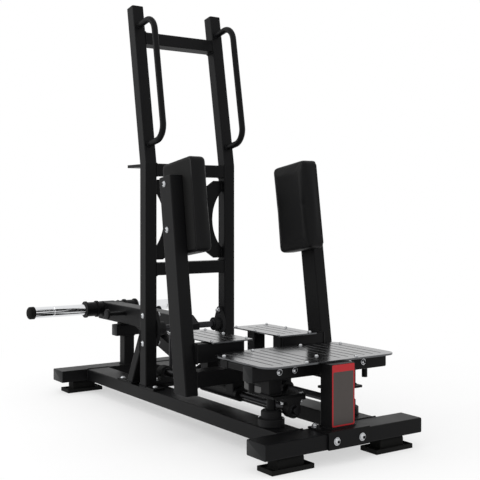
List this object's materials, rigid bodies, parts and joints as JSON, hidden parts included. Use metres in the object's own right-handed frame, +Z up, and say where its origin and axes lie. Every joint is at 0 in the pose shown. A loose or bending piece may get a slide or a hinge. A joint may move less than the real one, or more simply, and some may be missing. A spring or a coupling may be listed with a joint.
{
  "type": "standing hip abductor machine",
  "caption": "Plate-loaded standing hip abductor: levers with foot plates and thigh pads swing outwards and lift a weight arm behind a leaning handle tower.",
  "frame": {"origin": "on the floor, in the middle of the whole machine's box", "axes": "+Y from the user's end to the weight end, +X to the user's right, +Z up"},
  "size_m": [0.8212, 1.7462, 1.6255],
  "materials": {
    "frame_black": "satin black powder coat",
    "black_rubber": "matt moulded rubber",
    "tread_aluminium": "ribbed and brushed",
    "sleeve_chrome": "polished",
    "zinc_steel": "bright zinc plate",
    "cast_black": "painted black casting",
    "pad_vinyl": "grained black upholstery vinyl"
  },
  "bodies": {
    "frame": {"back_panel": "frame_black", "entry_crossmember": "frame_black", "entry_left_foot": "black_rubber", "entry_right_foot": "black_rubber", "left_arm_bearing": "cast_black", "left_brace": "frame_black", "left_front_bearing": "cast_black", "left_handle": "frame_black", "left_leg_mount": "cast_black", "left_platform_leg": "frame_black", "left_rail": "frame_black", "left_rear_bearing": "cast_black", "left_upright": "frame_black", "lower_crossbar": "frame_black", "middle_crossbar": "frame_black", "platform_frame": "frame_black", "platform_plate": "tread_aluminium", "platform_post": "frame_black", "rest_pad": "black_rubber", "rest_post": "frame_black", "right_arm_bearing": "cast_black", "right_brace": "frame_black", "right_front_bearing": "cast_black", "right_handle": "frame_black", "right_leg_mount": "cast_black", "right_platform_leg": "frame_black", "right_rail": "frame_black", "right_rear_bearing": "cast_black", "right_upright": "frame_black", "top_crossbar": "frame_black", "tray": "frame_black", "weight_crossmember": "frame_black", "weight_left_foot": "black_rubber", "weight_right_foot": "black_rubber"},
    "weight_arm": {"weight_arm": "frame_black", "arm_shaft": "zinc_steel", "link_pin": "zinc_steel", "left_sleeve_collar": "frame_black", "left_weight_sleeve": "sleeve_chrome", "left_sleeve_cap": "black_rubber", "left_band_peg": "frame_black", "right_sleeve_collar": "frame_black", "right_weight_sleeve": "sleeve_chrome", "right_sleeve_cap": "black_rubber", "right_band_peg": "frame_black"},
    "left_lever": {"left_lever": "frame_black", "left_lever_shaft": "zinc_steel", "left_crank": "cast_black", "left_foot_plate": "tread_aluminium", "left_thigh_pad": "pad_vinyl"},
    "left_link": {"left_link": "zinc_steel"},
    "right_lever": {"right_lever": "frame_black", "right_lever_shaft": "zinc_steel", "right_crank": "cast_black", "right_foot_plate": "tread_aluminium", "right_thigh_pad": "pad_vinyl"},
    "right_link": {"right_link": "zinc_steel"}
  },
  "joints": [
    {"name": "left_lever_swing", "type": "hinge", "parent": "frame", "child": "left_lever", "pos_m": [-0.105, -0.26685, 0.152], "axis": [0, -1, 0], "range_deg": [0, 35]},
    {"name": "right_lever_swing", "type": "hinge", "parent": "frame", "child": "right_lever", "pos_m": [0.105, -0.26685, 0.152], "axis": [0, 1, 0], "range_deg": [0, 35]},
    {"name": "weight_arm_lift", "type": "hinge", "parent": "frame", "child": "weight_arm", "pos_m": [0, 0.11615, 0.33], "axis": [1, 0, 0], "range_deg": [0, 35]},
    {"name": "left_link_swivel", "type": "hinge", "parent": "weight_arm", "child": "left_link", "pos_m": [-0.0535, 0.16765, 0.31376], "axis": [1, 0, 0], "range_deg": [-35, 0]},
    {"name": "right_link_swivel", "type": "hinge", "parent": "weight_arm", "child": "right_link", "pos_m": [0.0535, 0.16765, 0.31376], "axis": [1, 0, 0], "range_deg": [-35, 0]}
  ],
  "couplings": [
    {"joint": "right_lever_swing", "follows": "left_lever_swing", "ratio": 1},
    {"joint": "weight_arm_lift", "follows": "left_lever_swing", "ratio": 1},
    {"joint": "left_link_swivel", "follows": "left_lever_swing", "ratio": -1},
    {"joint": "right_link_swivel", "follows": "left_lever_swing", "ratio": -1}
  ]
}
